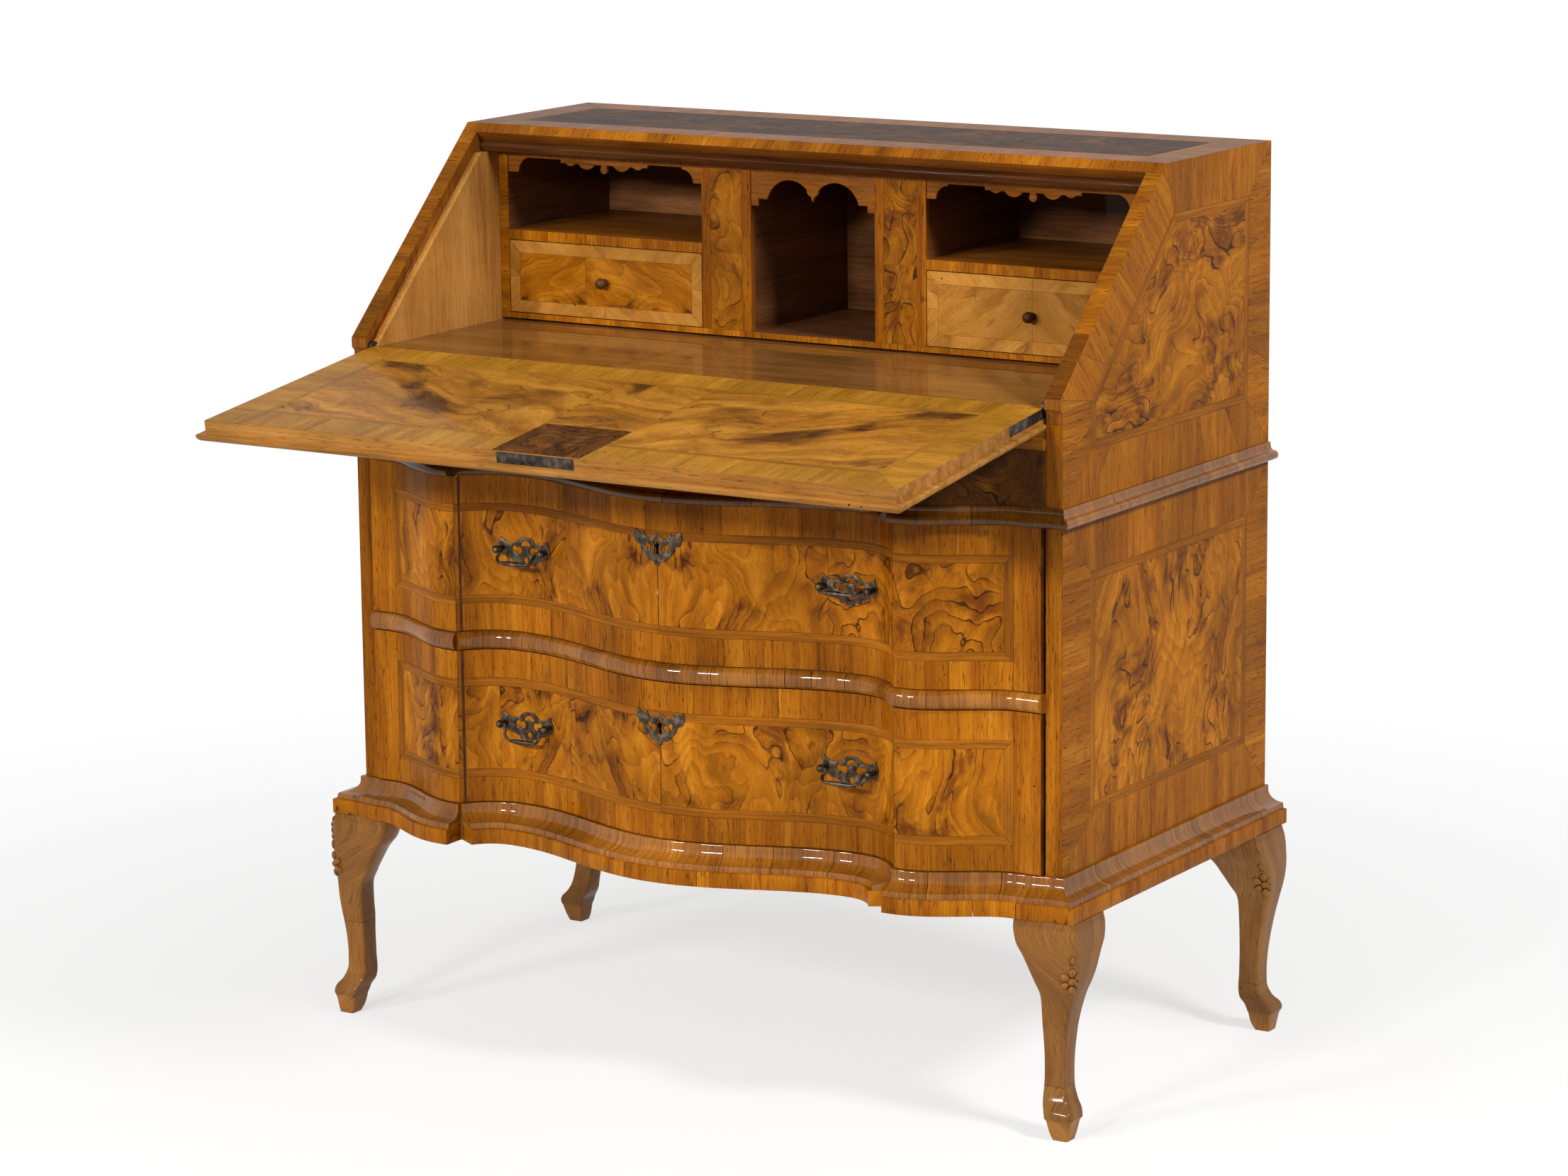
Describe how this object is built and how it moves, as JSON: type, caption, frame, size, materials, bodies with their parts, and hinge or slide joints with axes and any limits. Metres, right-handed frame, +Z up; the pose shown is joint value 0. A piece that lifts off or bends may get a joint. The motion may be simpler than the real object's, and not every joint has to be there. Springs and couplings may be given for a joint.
{
  "type": "slant-front desk",
  "caption": "Slant-front writing desk on cabriole legs, with a drop-down writing fall, a serpentine front with long drawers, and a fitted interior with small drawers and pigeonholes.",
  "frame": {"origin": "centre of the footprint of the whole bounding box, on the floor, with the fall open", "axes": "+Z up, -Y towards the user in front, +X to the user's right"},
  "size_m": [1.011, 0.8034, 1.0424],
  "materials": {
    "walnut": "french-polished walnut veneer with burl fields, crossbands and line bands",
    "dark_walnut": "dark polished solid walnut",
    "pine": "aged unfinished softwood",
    "bronze": "dark patinated cast brass",
    "iron": "worn dark wrought iron"
  },
  "bodies": {
    "case": {"side_left": "walnut", "side_right": "walnut", "stiles": "walnut", "side_linings": "walnut", "top_board": "walnut", "top_rail": "dark_walnut", "back_boards": "pine", "case_bottom": "pine", "bottom_rail": "walnut", "drawer_rail": "walnut", "rail_bead": "walnut", "waist_rail": "walnut", "waist_moulding_front": "walnut", "base_moulding_front": "walnut", "side_mouldings": "walnut", "frieze_panel": "walnut", "frieze_ledge": "walnut", "writing_bed": "walnut", "dust_board": "pine", "well_box": "pine", "drawer_runners": "pine", "leg_front_left": "walnut", "leg_front_right": "walnut", "leg_back_left": "walnut", "leg_back_right": "walnut", "pivot_sockets": "iron", "fittings_floor": "walnut", "fittings_partitions": "walnut", "fittings_shelves": "walnut", "fittings_back": "dark_walnut", "pilaster_fronts": "walnut", "bay_valances": "walnut", "arch_valance": "walnut"},
    "fall": {"fall_board": "walnut", "fall_lipping": "dark_walnut", "fall_lock": "iron", "fall_escutcheon": "bronze", "fall_pivots": "iron"},
    "fall_bolt": {"fall_bolt": "iron"},
    "upper_drawer": {"upper_front": "walnut", "upper_box": "pine", "upper_lock": "iron", "upper_plates": "bronze", "upper_posts": "bronze"},
    "upper_bolt": {"upper_bolt": "iron"},
    "upper_bail_left": {"upper_bail_left": "bronze"},
    "upper_bail_right": {"upper_bail_right": "bronze"},
    "lower_drawer": {"lower_front": "walnut", "lower_box": "pine", "lower_lock": "iron", "lower_plates": "bronze", "lower_posts": "bronze"},
    "lower_bolt": {"lower_bolt": "iron"},
    "lower_bail_left": {"lower_bail_left": "bronze"},
    "lower_bail_right": {"lower_bail_right": "bronze"},
    "small_left": {"small_drawer_left": "walnut", "small_knob_left": "dark_walnut"},
    "small_right": {"small_drawer_right": "walnut", "small_knob_right": "dark_walnut"},
    "well_cover": {"well_cover": "walnut"}
  },
  "joints": [
    {"name": "fall_hinge", "type": "hinge", "parent": "case", "child": "fall", "pos_m": [0, -0.08235, 0.8045], "axis": [1, 0, 0], "range_deg": [-143.9, 0]},
    {"name": "upper_drawer_slide", "type": "slide", "parent": "case", "child": "upper_drawer", "axis": [0, -1, 0], "range_m": [0, 0.3]},
    {"name": "lower_drawer_slide", "type": "slide", "parent": "case", "child": "lower_drawer", "axis": [0, -1, 0], "range_m": [0, 0.3]},
    {"name": "small_drawer_left_slide", "type": "slide", "parent": "case", "child": "small_left", "axis": [0, -1, 0], "range_m": [0, 0.17]},
    {"name": "small_drawer_right_slide", "type": "slide", "parent": "case", "child": "small_right", "axis": [0, -1, 0], "range_m": [0, 0.17]},
    {"name": "well_cover_slide", "type": "slide", "parent": "case", "child": "well_cover", "axis": [0, 1, 0], "range_m": [0, 0.18]},
    {"name": "upper_bail_left_swing", "type": "hinge", "parent": "upper_drawer", "child": "upper_bail_left", "pos_m": [-0.217, -0.12335, 0.59], "axis": [-1, 0, 0], "range_deg": [-48, 52]},
    {"name": "upper_bail_right_swing", "type": "hinge", "parent": "upper_drawer", "child": "upper_bail_right", "pos_m": [0.217, -0.12335, 0.59], "axis": [-1, 0, 0], "range_deg": [-84, 16]},
    {"name": "lower_bail_left_swing", "type": "hinge", "parent": "lower_drawer", "child": "lower_bail_left", "pos_m": [-0.217, -0.12335, 0.385], "axis": [-1, 0, 0], "range_deg": [-4, 96]},
    {"name": "lower_bail_right_swing", "type": "hinge", "parent": "lower_drawer", "child": "lower_bail_right", "pos_m": [0.217, -0.12335, 0.385], "axis": [-1, 0, 0], "range_deg": [-52, 48]},
    {"name": "upper_bolt_slide", "type": "slide", "parent": "upper_drawer", "child": "upper_bolt", "axis": [0, 0, 1], "range_m": [0, 0.008]},
    {"name": "lower_bolt_slide", "type": "slide", "parent": "lower_drawer", "child": "lower_bolt", "axis": [0, 0, 1], "range_m": [0, 0.008]},
    {"name": "fall_bolt_slide", "type": "slide", "parent": "fall", "child": "fall_bolt", "axis": [0, -0.9914, -0.1305], "range_m": [0, 0.008]}
  ]
}
